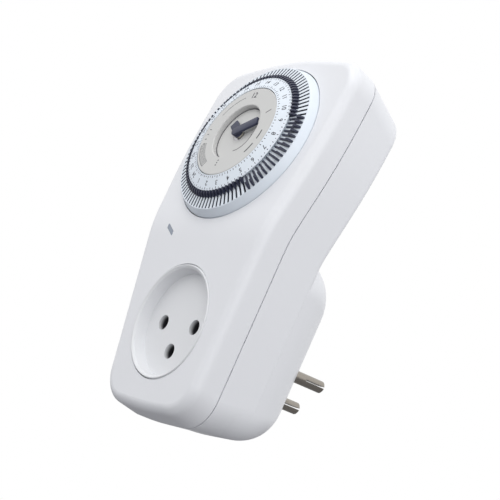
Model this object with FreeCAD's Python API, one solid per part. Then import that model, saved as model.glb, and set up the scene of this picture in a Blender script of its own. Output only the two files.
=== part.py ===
import FreeCAD, Part
import math
import os
from FreeCAD import Placement, Rotation, Vector

os.makedirs("parts", exist_ok=True)

# Housing. The origin is the centre of the plug face, +Z is up and the front faces -Y.
body_depth = 47.2          # front face to plug face
socket_rise = 1.4          # socket axis above the plug axis
lean = 10.9                # degrees by which the upper front leans back
bend_rise = 36.5           # bend above the socket axis
bend_radius = 60.0
dial_reach = 33.8          # bend to dial axis, along the leaning front
shell_depth = 28.0         # front to back of the upper part
parting_depth = 10.6       # front face to parting line
parting_gap = 0.4          # shadow line between the two shells
wall = 2.2
socket_half_width = 30.4   # half width at the height of the socket axis
side_slope = 0.147         # half width gained per millimetre of height
dial_half_width = 40.2
side_radius = 190.0        # where the sloping side turns upright
front_bottom = -31.3       # lowest point of the front face, from the socket axis
parting_bottom = -33.5     # lowest point at the parting line
rear_bottom = -32.3        # lowest point where the plug boss starts
bottom_crown = 1.4
bottom_radius = 150.0
bottom_corner = 13.0
top_rise = 38.8            # apex of the top outline above the dial axis
top_crown = 5.6
top_radius = 134.0
top_corner = 13.0
top_drop = 6.0             # how far the top falls towards the rear
front_fillet = 3.5
rear_fillet = 2.0
tongue_height = 1.6
tongue_gap = 0.1

# Plug boss: it leaves the side walls smoothly and closes in towards the plug face.
boss_start = 24.0
boss_step = 0.05           # hairline by which the boss stands inside the side walls
boss_shrink = 14.6         # how far each side closes in
boss_rise = 10.8           # how far bottom and top close in
boss_top = 36.0
boss_corner = 12.0
boss_end_corner = 7.5
boss_tightening = 0.75     # share of the bottom radius lost at the plug face
boss_soft_start = 2.2
boss_soft_end = 1.25
boss_steps = (0.0, 0.2, 0.4, 0.6, 0.75, 0.87, 0.95, 1.0)
cavity_steps = (0.0, 0.35, 0.65, 0.87, 1.0)

# Plug pins and the socket behind the front.
pin_pitch = 19.0           # live to neutral
earth_drop = 9.6           # earth below the line of live and neutral
pin_radius = 2.25
pin_shank_radius = 1.6
pin_shoulder = 0.1
pin_seat = 1.0             # wider mouth of each pin's hole in the plug face
pin_length = 19.0
pin_tip = 1.0              # rounding of the tip
slit_width = 0.7
slit_length = 10.0
socket_radius = 20.8
socket_gap = 0.2
lip_width = 1.4
lip_round = 0.6
recess_depth = 4.24
floor_radius = 18.6
floor_thickness = 2.0
hole_radius = 2.7
sleeve_radius = 4.2
sleeve_depth = 8.2         # rear end of the insulating sleeves
flange_radius = 22.8
flange_thickness = 1.6
contact_inner = 2.5
contact_outer = 3.3
contact_depth = 8.6        # front end of the sprung contacts
contact_slit = 8.0
strap_thickness = 0.8
strap_width = 5.0
strap_half_length = 3.5
block_half_width = 17.0
block_top = 20.0
block_bottom = -16.6
block_depth = 24.6         # front of the contact block
block_end = 40.5           # rear of the wide part of the contact block
stem_half_width = 11.9     # narrow rear part, which holds the pins
stem_top = 12.0
block_clearance = 0.8      # room between block and plug face wall
stem_bottom = -14.0
block_leg_radius = 1.2
block_leg_reach = 21.5     # legs that press on the socket flange
riser_out = 19.0           # where the two live straps run up
riser_in = 22.6
riser_width = 2.5
live_step = 2.2            # distance between the two live straps
fit_gap = 0.05

# Dial. Heights count outward from the leaning front, radii from the dial axis.
dial_radius = 32.0
opening_gap = 0.35
skirt_depth = 1.8
skirt_wall = 1.6
rim_radius = 30.4
rim_height = 3.1
comb_inner = 20.0
comb_rise = 0.205          # height gained per millimetre towards the axis
comb_edge = 3.05           # height of the comb at its outer end
comb_thickness = 1.6
slot_count = 96
slot_width = 0.8
slot_inner = 24.5
slot_outer = 30.2
ring_outer = 24.4
ring_inner = 18.95
ring_outer_height = 6.1
ring_inner_height = 7.0
ring_thickness = 0.6
hub_radius = 7.0
web_low = 0.6
web_high = 2.0
hub_top = 3.3

# Trippers: a head that slides on the comb and a stem that runs in its slot.
head_length = 5.6
head_width = 1.15
head_height = 0.85
head_inner_width = 0.9
tripper_travel = 3.6
stem_width = 0.6
stem_length = 1.6
stem_foot = -0.9
lift_gap = 0.05
out_end = 30.1             # radius of the outer end when pushed out
first_out = 20             # quarter hours after midnight of the first tripper pushed out
out_count = 17
hour_ten_angle = 26.3      # where the ten stands, anticlockwise from the right
singles = (33, 34, 35, 36, 37, 38, 39, 40)

# Clock face and hands.
face_radius = 18.7
face_height = 7.0
face_thickness = 1.2
edge_break = 0.25          # small chamfer of the turned pieces
well_radius = 11.2
well_floor = 5.0
hour_hand_angle = 143.0
hour_hand_reach = 7.0
minute_hand_angle = 23.5
minute_hand_reach = 10.2
hand_width = 3.0
hand_thickness = 0.8
hour_hand_level = 5.35
minute_level = 6.4
hand_spigot = 0.55
hub_disc_radius = 2.5
arbor_radius = 0.9
hour_pipe_radius = 1.7
centre_pipe_inner = 1.75
centre_pipe_radius = 3.5
centre_pipe_step = 2.8
hour_pipe_step = 1.3
run_gap = 0.05
hub_bore = centre_pipe_radius + run_gap
gear_bore = 14.0
bridge_low = -1.75
bridge_high = -1.25
bridge_boss = 7.5
pillar_reach = 20.0
pillar_angles = (20, 100, 215)

# Wheel train. All centre distances are equal, so that it is one compound wheel on one stud.
centre_distance = 20.0
cannon_teeth = 12
motion_teeth = 36
motion_hour_teeth = 10
hour_teeth = 40
motion_dial_teeth = 8
dial_teeth = 64
motor_teeth = 12
cannon_module = 2 * centre_distance / (cannon_teeth + motion_teeth)
hour_module = 2 * centre_distance / (hour_teeth + motion_hour_teeth)
dial_module = 2 * centre_distance / (dial_teeth + motion_dial_teeth)
tooth_tip = 0.75
tooth_root = 1.1
motion_angle = -60.0
motor_angle = -120.0
backlash = 0.2
plate_front = -6.8
plate_thickness = 1.4
cannon_level = (-5.8, -4.4)
hour_level = (-3.6, -2.2)
dial_level = (-0.9, 0.3)
stud_radius = 1.0
motor_radius = 22.0
motor_length = 13.0
motor_shift = (-5.0, 1.5)
post_radius = 2.7
post_places = ((30.5, 22.5), (-30.5, 22.5), (29.2, -25.5), (-29.2, -25.5))
pad_places = ((12.5, 16.5), (-12.5, 16.5))
pad_counterbore = 3.2
screw_radius = 1.3
screw_pilot = 1.35
screw_head_radius = 2.6
screw_head_height = 1.8
counterbore_radius = 2.9
counterbore_depth = 9.0

# Snap switch and its feeler, to the right of the dial axis.
feeler_nose = 29.2         # radius at which the feeler looks for trippers
feeler_pivot = 35.6
feeler_level = -4.6
feeler_width = 3.0
feeler_thickness = 0.9
nose_top = -1.25
feeler_pin_radius = 0.7
button_place = 31.4
button_radius = 1.0
switch_size = (9.0, 18.0, 9.0)
switch_shift = 1.0         # how far the switch sits above the feeler

# Indicator window.
window_place = (-19.6, 33.0)
window_length = 4.7
window_height = 2.0
window_fall = -0.64        # slope of its long sides
lens_flange = 1.0
lamp_radius = 2.0
lamp_length = 8.0
resistor_radius = 1.2
resistor_length = 6.5

contact_places = ((-pin_pitch / 2, 0.0), (pin_pitch / 2, 0.0), (0.0, -earth_drop))
front_frame = Placement(Vector(0, -body_depth, socket_rise), Rotation(Vector(1, 0, 0), 90))
sin_lean = math.sin(math.radians(lean))
cos_lean = math.cos(math.radians(lean))
bend_height = socket_rise + bend_rise
dial_centre = Vector(0, dial_reach * sin_lean - body_depth, bend_height + dial_reach * cos_lean)
dial_frame = Placement(dial_centre, Rotation(Vector(1, 0, 0), 90 - lean))
side_frame = Placement(Vector(0, 0, 0), Rotation(Vector(1, 1, 1), 120))


def placed(shape, frame):
    moved = shape.copy()
    moved.Placement = frame.multiply(moved.Placement)
    return moved


def export(name, shape):
    shape.exportStep("parts/" + name + ".step")


def cylinder(radius, low, high, x=0.0, y=0.0):
    return Part.makeCylinder(radius, high - low, Vector(x, y, low))


def tube(outer, inner, low, high, x=0.0, y=0.0):
    return cylinder(outer, low, high, x, y).cut(cylinder(inner, low - 1, high + 1, x, y))


def block(x0, x1, y0, y1, z0, z1):
    corner = Vector(min(x0, x1), min(y0, y1), min(z0, z1))
    return Part.makeBox(abs(x1 - x0), abs(y1 - y0), abs(z1 - z0), corner)


def polar(radius, angle, height=0.0):
    turn = math.radians(angle)
    return Vector(radius * math.cos(turn), radius * math.sin(turn), height)


def rounded(corners, height=0.0, inset=0.0):
    """Closed outline of straight sides and rounded corners, drawn anticlockwise, moved in by inset."""
    points = [Vector(x, y, 0) for x, y, radius in corners]
    count = len(points)
    sides = [(points[(i + 1) % count] - points[i]).normalize() for i in range(count)]
    moved = []
    for i in range(count):
        before, after = sides[i - 1], sides[i]
        inward = Vector(-before.y, before.x, 0)
        turn = before.cross(after).z
        half = math.tan(math.atan2(turn, before.dot(after)) / 2)
        moved.append(points[i] + inward * inset - before * (inset * half))
    edges = []
    ends = []
    for i in range(count):
        before, after = sides[i - 1], sides[i]
        turn = math.atan2(before.cross(after).z, before.dot(after))
        radius = corners[i][2]
        radius = radius - math.copysign(inset, turn) if radius else 0.0
        reach = abs(math.tan(turn / 2)) * radius
        start = moved[i] - before * reach
        end = moved[i] + after * reach
        ends.append((start, end))
        if reach > 0:
            middle = (after - before).normalize() * (radius / math.cos(turn / 2) - radius) + moved[i]
            edges.append([Part.Arc(start, middle, end).toShape()])
        else:
            edges.append([])
    wire = []
    for i in range(count):
        wire += edges[i]
        start, end = ends[i][1], ends[(i + 1) % count][0]
        if (end - start).Length > 1e-6:
            wire.append(Part.makeLine(start, end))
    outline = Part.Wire(wire)
    outline.translate(Vector(0, 0, height))
    return outline


def mirrored(half):
    """Outline points of the right half, from bottom to top, and their mirror images."""
    left = [(-x, y, radius) for x, y, radius in reversed(half) if x > 0]
    return list(half) + left


def prism(corners, low, high, inset=0.0):
    face = Part.Face(rounded(corners, low, inset))
    return face.extrude(Vector(0, 0, high - low))


def loft(wires, smooth=False):
    return Part.makeLoft(list(wires), True, not smooth)


def side_at(height):
    return socket_half_width + side_slope * height


def revolve(points):
    """Solid of revolution about the local axis from points (radius, height)."""
    wire = Part.makePolygon([Vector(r, 0, h) for r, h in points] + [Vector(points[0][0], 0, points[0][1])])
    return Part.Face(wire).revolve(Vector(0, 0, 0), Vector(0, 0, 1), 360)


# The housing's outline is a pear: its sides spread from the bottom corners and turn upright beside the dial.
def body_outline(bottom):
    corner = bottom + bottom_crown
    upright = (dial_half_width - socket_half_width) / side_slope
    return mirrored((
        (0.0, bottom, bottom_radius),
        (side_at(corner), corner, bottom_corner),
        (dial_half_width, upright, side_radius),
        (dial_half_width, 2 * top_rise + upright, 0.0),
    ))


def top_outline(drop):
    top = top_rise - drop
    return mirrored((
        (dial_half_width, -3 * top_rise, 0.0),
        (dial_half_width, top - top_crown, top_corner),
        (0.0, top, top_radius),
    ))


def bent_line(depth):
    """Low end, bend and high end of the leaning side line at a depth behind the front, as (y, z)."""
    reach = 3 * dial_reach
    drop = depth * math.tan(math.radians(lean / 2))
    middle = (depth - body_depth, bend_height - drop)
    high = (middle[0] + reach * sin_lean, middle[1] + reach * cos_lean)
    return (middle[0], middle[1] - reach), middle, high


def slab(front, rear):
    """Everything between two depths behind the front, bent with it."""
    low_a, bend_a, high_a = bent_line(front)
    low_b, bend_b, high_b = bent_line(rear)
    corners = (
        (low_a[0], low_a[1], 0.0),
        (low_b[0], low_b[1], 0.0),
        (bend_b[0], bend_b[1], bend_radius - rear),
        (high_b[0], high_b[1], 0.0),
        (high_a[0], high_a[1], 0.0),
        (bend_a[0], bend_a[1], bend_radius - front),
    )
    solid = prism(corners, -2 * dial_half_width, 2 * dial_half_width)
    return placed(solid, side_frame)


def pear(inset):
    """The pear outline through the whole depth, with its drafted bottom."""
    front = rounded(body_outline(front_bottom), 0.0, inset)
    middle = rounded(body_outline(parting_bottom), -parting_depth, inset)
    rear = rounded(body_outline(rear_bottom), -boss_start, inset)
    end = rounded(body_outline(rear_bottom), -body_depth - dial_reach, inset)
    solid = loft((front, middle)).fuse(loft((middle, rear))).fuse(loft((rear, end)))
    return placed(solid.removeSplitter(), front_frame)


def crown(inset):
    """The rounded top, square to the leaning front and falling away behind the parting line."""
    upper = prism(top_outline(0.0), -parting_depth, parting_depth, inset)
    start = rounded(top_outline(0.0), -parting_depth, inset)
    fall = top_drop * (body_depth - parting_depth) / (shell_depth - parting_depth)
    end = rounded(top_outline(fall), -body_depth, inset)
    return placed(upper.fuse(loft((start, end))).removeSplitter(), dial_frame)


def boss(inset, end, steps):
    """The bulge that carries the plug, lofted through sections that close in more and more."""
    wires = [boss_section(boss_start - 4, 0.0, inset)]
    for step in steps:
        depth = boss_start + (end - boss_start) * step
        closed = 1 - (1 - step ** boss_soft_start) ** (1 / boss_soft_end)
        wires.append(boss_section(depth, closed, inset))
    return placed(loft(wires, steps == boss_steps), front_frame)


def boss_section(depth, closed, inset):
    shrink = boss_shrink * closed
    bottom = rear_bottom + boss_rise * closed
    top = boss_top - boss_rise * closed
    corner = boss_corner + (boss_end_corner - boss_corner) * closed
    low = bottom + bottom_crown
    outline = mirrored((
        (0.0, bottom, bottom_radius * (1 - boss_tightening * closed)),
        (side_at(low) - shrink, low, corner),
        (side_at(top) - shrink, top, corner),
    ))
    return rounded(outline, -depth, inset)


def depth_of(point):
    """Depth of a point behind the bent front surface."""
    low = front_frame.inverse().multVec(point)
    high = dial_frame.inverse().multVec(point)
    return min(-low.z, -high.z) if low.y > 0 else -low.z


def runs_across(edge):
    """True for a line that crosses the middle of the housing from side to side."""
    box = edge.BoundBox
    return box.XMin < -1 and box.XMax > 1 and box.YLength < 0.01 and box.ZLength < 0.01


def front_edges(shape, depth):
    """Edges that lie in the bent surface at a depth behind the front."""
    found = []
    for edge in shape.Edges:
        low, high = edge.ParameterRange
        points = [edge.valueAt(low + (high - low) * part) for part in (0.0, 0.3, 0.5, 0.8, 1.0)]
        if all(abs(depth_of(point) - depth) < 0.5 for point in points):
            found.append(edge)
    return found


def skin(inset, front, rear):
    return pear(inset).common(crown(inset)).common(slab(front, rear))


def outer_body():
    body = skin(0.0, 0.0, shell_depth).removeSplitter()
    rim = [edge for edge in front_edges(body, 0.0) if not runs_across(edge)]
    body = body.makeFillet(front_fillet, rim)
    back = [edge for edge in front_edges(body, shell_depth) if not runs_across(edge)]
    body = body.makeFillet(rear_fillet, back)
    return body.fuse(boss(boss_step, body_depth, boss_steps))


def tooth_wheel(teeth, module, low, high, tooth_angle, bore=0.0, x=0.0, y=0.0):
    """Spur wheel with straight-sided teeth, one of which stands at tooth_angle."""
    pitch = teeth * module / 2
    tip = pitch + tooth_tip * module
    root = pitch - tooth_root * module
    half = math.pi * module / 4 - backlash / 2
    lean_in = math.tan(math.radians(20))
    shape = []
    for radius, side in ((root, -1), (pitch, -1), (tip, -1), (tip, 1), (pitch, 1), (root, 1)):
        width = half - (radius - pitch) * lean_in
        shape.append((radius, side * math.degrees(width / radius)))
    points = []
    for number in range(teeth):
        centre = tooth_angle + number * 360.0 / teeth
        points += [polar(radius, centre + offset, low) for radius, offset in shape]
    outline = Part.makePolygon(points + [points[0]])
    wheel = Part.Face(outline).extrude(Vector(0, 0, high - low))
    if bore:
        wheel = wheel.cut(cylinder(bore, low - 1, high + 1))
    wheel.translate(Vector(x, y, 0))
    return wheel


def comb_height(radius):
    return comb_edge + comb_rise * (slot_outer - radius)


def ring_height(radius):
    rise = (ring_inner_height - ring_outer_height) / (ring_outer - ring_inner)
    return ring_outer_height + rise * (ring_outer - radius)


# The round socket insert with its three sleeves.
def socket_insert():
    back = -wall - fit_gap
    floor = -recess_depth
    profile = (
        (0.0, floor, 0.0),
        (0.0, floor - floor_thickness, 0.0),
        (floor_radius + lip_width, floor - floor_thickness, 0.0),
        (floor_radius + lip_width, back - flange_thickness, 0.0),
        (flange_radius, back - flange_thickness, 0.0),
        (flange_radius, back, 0.0),
        (socket_radius, back, 0.0),
        (socket_radius, -lip_round / 2, 0.0),
        (socket_radius - lip_round / 2, lip_round / 2, 0.0),
        (socket_radius - lip_round, lip_round / 2, 0.0),
        (socket_radius - lip_width, -lip_round / 2, 0.0),
        (floor_radius, floor, 0.0),
    )
    face = Part.Face(rounded(profile))
    face.rotate(Vector(0, 0, 0), Vector(1, 0, 0), 90)
    insert = face.revolve(Vector(0, 0, 0), Vector(0, 0, 1), 360)
    for x, y in contact_places:
        insert = insert.fuse(cylinder(sleeve_radius, -sleeve_depth, floor - 1, x, y))
    for x, y in contact_places:
        insert = insert.cut(cylinder(hole_radius, -sleeve_depth - 1, 1, x, y))
    return insert


def sprung_contact(x, y, rear):
    sleeve = tube(contact_outer, contact_inner, -rear, -contact_depth, x, y)
    half = 0.4
    slit = -contact_depth - contact_slit
    for cut in (
        block(x - half, x + half, y - 5, y + 5, slit, 0),
        block(x - 5, x + 5, y - half, y + half, slit, 0),
    ):
        sleeve = sleeve.cut(cut)
    return sleeve


def plug_pin(x, drop):
    """A round pin with a slit along its free end, on a thinner shank through the shell."""
    root = block_depth + fit_gap - body_depth
    along = Vector(0, 1, 0)
    pin = Part.makeCylinder(
        pin_radius, pin_length - pin_shoulder, Vector(x, pin_shoulder, drop), along
    )
    shank_length = pin_shoulder - root + fit_gap
    pin = pin.fuse(Part.makeCylinder(pin_shank_radius, shank_length, Vector(x, root, drop), along))
    tip = [edge for edge in pin.Edges if edge.BoundBox.YMin > pin_length - 0.1]
    pin = pin.makeChamfer(pin_tip, tip)
    slit = Part.makeBox(4 * pin_radius, slit_length, slit_width)
    slit.translate(Vector(x - 2 * pin_radius, pin_length - slit_length, drop - slit_width / 2))
    return pin.cut(slit)


def contact_block():
    hold = block(
        -block_half_width, block_half_width, block_bottom, block_top, -block_end, -block_depth
    )
    wall_inside = -body_depth + wall + block_clearance
    stem = block(
        -stem_half_width, stem_half_width, stem_bottom, stem_top, wall_inside, -block_end + 1
    )
    hold = hold.fuse(stem)
    leg_end = -wall - flange_thickness - 2 * fit_gap
    for number in range(4):
        place = polar(block_leg_reach, 45 + 90 * number)
        hold = hold.fuse(cylinder(block_leg_radius, -block_depth - 1, leg_end, place.x, place.y))
    for x, y in contact_places:
        hold = hold.cut(
            cylinder(pin_shank_radius + fit_gap, -body_depth, 0, x, y - socket_rise)
        )
    for x, y in pad_places:
        hold = hold.cut(cylinder(screw_pilot, -block_end - 1, -block_end + 9, x, y))
    return hold.removeSplitter()


def strap_plate(x0, x1, y0, y1, depth):
    return block(x0, x1, y0, y1, -depth - strap_thickness, -depth)


def live_strap(run_x, depth, start, tab_x, tab_y):
    """Flat strap that runs up behind the plate and turns forward to the switch."""
    low = strap_plate(run_x, run_x + riser_width, start, bend_rise - depth * 0.05, depth)
    high = strap_plate(run_x, run_x + riser_width, -dial_reach - depth * 0.1, tab_y, depth)
    across = strap_plate(run_x, tab_x, tab_y - riser_width, tab_y, depth)
    switch_back = plate_front - plate_thickness - fit_gap - switch_size[2] - fit_gap
    tab = block(
        tab_x - strap_thickness, tab_x, tab_y - riser_width, tab_y,
        -depth - strap_thickness, switch_back
    )
    upper = high.fuse(across).fuse(tab)
    return placed(low, front_frame), placed(upper, dial_frame)


def front_shell(outer, cavity, inner_step):
    shell = outer.common(slab(-1.0, parting_depth)).cut(cavity).cut(inner_step)
    shell = shell.cut(placed(cylinder(socket_radius + socket_gap, -9, 9), front_frame))
    shell = shell.cut(placed(cylinder(dial_radius + opening_gap, -9, 9), dial_frame))
    shell = shell.cut(placed(window_prism(0.0, -9, 9), front_frame))
    for x, y in post_places:
        post = tube(post_radius, screw_pilot, plate_front + fit_gap, -wall - 1, x, y)
        post = post.fuse(cylinder(post_radius, -wall - 1, -wall + 0.5, x, y))
        shell = shell.fuse(placed(post, dial_frame))
    return shell.fuse(placed(lamp_bracket(), front_frame)).removeSplitter()


def rear_shell(outer, cavity, tongue):
    shell = outer.cut(slab(-9.0, parting_depth + parting_gap)).cut(cavity).fuse(tongue)
    plate_back = plate_front - plate_thickness - fit_gap
    for x, y in post_places:
        shoulder = -shell_depth + counterbore_depth
        wide = cylinder(counterbore_radius + 0.9, -shell_depth + 0.5, shoulder + 1.5, x, y)
        slim = cylinder(post_radius, shoulder, plate_back, x, y)
        shell = shell.fuse(placed(wide.fuse(slim), dial_frame))
    for x, y in pad_places:
        pad = cylinder(counterbore_radius + 1.2, -body_depth + 1, -block_end - fit_gap, x, y)
        shell = shell.fuse(placed(pad, front_frame))
    for x, y in post_places:
        shoulder = -shell_depth + counterbore_depth
        hole = cylinder(counterbore_radius, -shell_depth - 9, shoulder, x, y)
        hole = hole.fuse(cylinder(screw_radius + fit_gap, shoulder - 1, 0, x, y))
        shell = shell.cut(placed(hole, dial_frame))
    for x, y in pad_places:
        hole = cylinder(counterbore_radius, -body_depth - 9, -body_depth + pad_counterbore, x, y)
        hole = hole.fuse(cylinder(screw_radius + fit_gap, -body_depth, -block_end + 1, x, y))
        shell = shell.cut(placed(hole, front_frame))
    for x, y in contact_places:
        hole = cylinder(
            pin_shank_radius + fit_gap, -body_depth - 9, -block_end, x, y - socket_rise
        )
        seat_depth = -body_depth + pin_seat
        seat = cylinder(pin_radius + fit_gap, -body_depth - 9, seat_depth, x, y - socket_rise)
        hole = hole.fuse(seat)
        shell = shell.cut(placed(hole, front_frame))
    return shell.removeSplitter()


def screw(x, y, head_seat, end):
    """Screw whose head lies behind its seat."""
    head = cylinder(screw_head_radius, head_seat - screw_head_height, head_seat, x, y)
    cross = screw_head_radius * 0.6
    low = head_seat - screw_head_height - 1
    high = head_seat - screw_head_height + 0.8
    head = head.cut(block(x - cross, x + cross, y - 0.3, y + 0.3, low, high))
    head = head.cut(block(x - 0.3, x + 0.3, y - cross, y + cross, low, high))
    return head.fuse(cylinder(screw_radius, head_seat, end, x, y))


def window_prism(inset, low, high):
    """Slanted window: upright short sides and falling long sides."""
    x, y = window_place
    half_x = window_length / 2 - inset
    half_y = window_height / 2 - inset * 1.2
    fall = window_fall * window_length / 2
    corners = (
        (x - half_x, y - half_y - fall, 0.3),
        (x + half_x, y - half_y + fall, 0.3),
        (x + half_x, y + half_y + fall, 0.3),
        (x - half_x, y + half_y - fall, 0.3),
    )
    return prism(corners, low, high)


def lamp_bracket():
    x, y = window_place
    reach = lamp_radius + 3.2
    plate = block(x - reach, x + reach, y - 3.2, y + 3.2, -8.0, -5.0)
    for side in (-1, 1):
        edge = x + side * (reach - 0.7)
        plate = plate.fuse(block(edge - 0.7, edge + 0.7, y - 3.2, y + 3.2, -6.0, -wall + 0.3))
    return plate.cut(cylinder(lamp_radius + fit_gap, -9, 0, x, y))


def mechanism_plate():
    outline = (
        (-32.6, -28.3, 3.0),
        (32.6, -28.3, 3.0),
        (36.9, -3.0, 1.0),
        (36.9, 6.0, 1.0),
        (33.4, 25.6, 3.0),
        (-33.4, 25.6, 3.0),
    )
    plate = prism(outline, plate_front - plate_thickness, plate_front)
    low = plate_front - 5
    for x, y in post_places:
        plate = plate.cut(cylinder(screw_radius + fit_gap, low, 0, x, y))
    motor = polar(centre_distance, motor_angle)
    plate = plate.cut(cylinder(stud_radius + 0.5, low, 0, motor.x, motor.y))
    plate = plate.cut(cylinder(arbor_radius + run_gap, low, 0))
    plate = plate.cut(cylinder(button_radius + 0.3, low, 0, button_place, 0))
    for side in (-1, 1):
        ear = block(
            feeler_pivot - 1.2, feeler_pivot + 1.2, side * (feeler_width / 2 + 0.4),
            side * (feeler_width / 2 + 1.6), plate_front - 0.5, feeler_level + 1.2
        )
        plate = plate.fuse(ear)
    pivot = Part.makeCylinder(
        feeler_pin_radius + 0.02, 20, Vector(feeler_pivot, -10, feeler_level), Vector(0, 1, 0)
    )
    return plate.cut(pivot).removeSplitter()


def bridge_plate():
    """Thin plate over the wheels that carries the centre pipe, with three pillars."""
    bridge = cylinder(bridge_boss, bridge_low, bridge_high)
    for angle in pillar_angles:
        arm = block(0, pillar_reach, -2.2, 2.2, bridge_low, bridge_high)
        arm.rotate(Vector(0, 0, 0), Vector(0, 0, 1), angle)
        foot = polar(pillar_reach, angle)
        bridge = bridge.fuse(arm)
        bridge = bridge.fuse(cylinder(2.2, bridge_low, bridge_high, foot.x, foot.y))
        bridge = bridge.fuse(cylinder(1.5, plate_front + fit_gap, bridge_low + 0.1, foot.x, foot.y))
    return bridge.cut(cylinder(centre_pipe_step + fit_gap, -9, 9)).removeSplitter()


def centre_pipe():
    top = well_floor - face_thickness
    pipe = cylinder(centre_pipe_radius, bridge_high + fit_gap, top - fit_gap)
    pipe = pipe.fuse(cylinder(centre_pipe_step, bridge_low, bridge_high + 1))
    pipe = pipe.fuse(cylinder(centre_pipe_step, top - 1, well_floor - 0.1))
    return pipe.cut(cylinder(centre_pipe_inner, -9, 9)).removeSplitter()


def clock_disc():
    low = face_height - face_thickness
    floor = well_floor - face_thickness
    step = well_radius + face_thickness
    profile = (
        (centre_pipe_step + fit_gap, floor, 0.0),
        (step, floor, 0.0),
        (step, low, 0.0),
        (face_radius, low, 0.0),
        (face_radius, face_height - edge_break, 0.0),
        (face_radius - edge_break, face_height, 0.0),
        (well_radius + edge_break, face_height, 0.0),
        (well_radius, face_height - edge_break, 0.0),
        (well_radius, well_floor, 0.0),
        (centre_pipe_step + fit_gap, well_floor, 0.0),
    )
    face = Part.Face(rounded(profile))
    face.rotate(Vector(0, 0, 0), Vector(1, 0, 0), 90)
    return face.revolve(Vector(0, 0, 0), Vector(0, 0, 1), 360)


def dial_body():
    """Rim, slotted comb, inner wall, web, hub and driving teeth in one piece."""
    under = comb_thickness
    profile = (
        (hub_bore, dial_level[0], 0.0),
        (hub_radius, dial_level[0], 0.0),
        (hub_radius, web_low, 0.0),
        (comb_inner, web_low, 0.0),
        (comb_inner, comb_height(comb_inner) - under, 0.0),
        (dial_radius - skirt_wall, comb_height(dial_radius - skirt_wall) - under, 0.0),
        (dial_radius - skirt_wall, -skirt_depth, 0.0),
        (dial_radius, -skirt_depth, 0.0),
        (dial_radius, 0.0, 0.0),
        (rim_radius + edge_break, rim_height - edge_break, 0.0),
        (rim_radius, rim_height, 0.0),
        (slot_outer, comb_height(slot_outer), 0.0),
        (comb_inner, comb_height(comb_inner), 0.0),
        (comb_inner, ring_height(comb_inner) - ring_thickness - fit_gap, 0.0),
        (ring_inner, ring_height(comb_inner) - ring_thickness - fit_gap, 0.0),
        (ring_inner, web_high, 0.0),
        (hub_radius, web_high, 0.0),
        (hub_radius, hub_top, 0.0),
        (hub_bore, hub_top, 0.0),
    )
    face = Part.Face(rounded(profile))
    face.rotate(Vector(0, 0, 0), Vector(1, 0, 0), 90)
    dial = face.revolve(Vector(0, 0, 0), Vector(0, 0, 1), 360)
    gear = tooth_wheel(dial_teeth, dial_module, dial_level[0], web_low + 0.2, motion_angle, gear_bore)
    dial = dial.fuse(gear)
    slots = []
    for number in range(slot_count):
        slot = block(slot_inner, slot_outer, -slot_width / 2, slot_width / 2, 0.0, ring_inner_height)
        slot.rotate(Vector(0, 0, 0), Vector(0, 0, 1), tripper_angle(number))
        slots.append(slot)
    return dial.cut(Part.makeCompound(slots))


def numeral_ring():
    profile = (
        (ring_inner, ring_height(ring_inner) - ring_thickness, 0.0),
        (ring_outer, ring_height(ring_outer) - ring_thickness, 0.0),
        (ring_outer, ring_height(ring_outer) - edge_break, 0.0),
        (ring_outer - edge_break, ring_height(ring_outer), 0.0),
        (ring_inner, ring_height(ring_inner), 0.0),
    )
    face = Part.Face(rounded(profile))
    face.rotate(Vector(0, 0, 0), Vector(1, 0, 0), 90)
    return face.revolve(Vector(0, 0, 0), Vector(0, 0, 1), 360)


def tripper_angle(quarter):
    """Direction of a tripper, counted in quarter hours after midnight."""
    step = 360.0 / slot_count
    return hour_ten_angle - 10 * 4 * step + step / 2 + quarter * step


def tripper(quarter):
    """One tripper, drawn pushed out and moved in along the comb if it is an inner one."""
    inner = out_end - head_length
    seat_in = comb_height(inner) + lift_gap
    seat_out = comb_height(out_end) + lift_gap
    side = (
        (inner, seat_in, 0.0),
        (out_end, seat_out, 0.0),
        (out_end, seat_out + head_height - 0.3, 0.0),
        (out_end - 0.4, seat_out + head_height, 0.0),
        (inner, seat_in + head_height, 0.0),
    )
    face = Part.Face(rounded(side))
    face.rotate(Vector(0, 0, 0), Vector(1, 0, 0), 90)
    face.translate(Vector(0, head_width, 0))
    profile = face.extrude(Vector(0, -2 * head_width, 0))
    plan = (
        (inner, -head_inner_width / 2, 0.0),
        (out_end - edge_break, -head_width / 2, 0.0),
        (out_end, -head_width / 2 + edge_break, 0.0),
        (out_end, head_width / 2 - edge_break, 0.0),
        (out_end - edge_break, head_width / 2, 0.0),
        (inner, head_inner_width / 2, 0.0),
    )
    head = profile.common(prism(plan, 0.0, 2 * face_height))
    stem_end = out_end - 0.1
    stem = block(
        stem_end - stem_length, stem_end, -stem_width / 2, stem_width / 2, stem_foot, seat_out + 0.2
    )
    piece = head.fuse(stem)
    if not is_out(quarter):
        piece.translate(Vector(-tripper_travel, 0, tripper_travel * comb_rise))
    piece.rotate(Vector(0, 0, 0), Vector(0, 0, 1), tripper_angle(quarter))
    return piece


def is_out(quarter):
    return first_out <= quarter < first_out + out_count


def minute_arbor():
    arbor = cylinder(arbor_radius, plate_front - plate_thickness + 0.2, minute_level - fit_gap)
    arbor = arbor.fuse(cylinder(hand_spigot, minute_level - 1, minute_level + hand_thickness - 0.1))
    pinion = tooth_wheel(cannon_teeth, cannon_module, *cannon_level, motion_angle)
    return arbor.fuse(pinion).removeSplitter()


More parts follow.
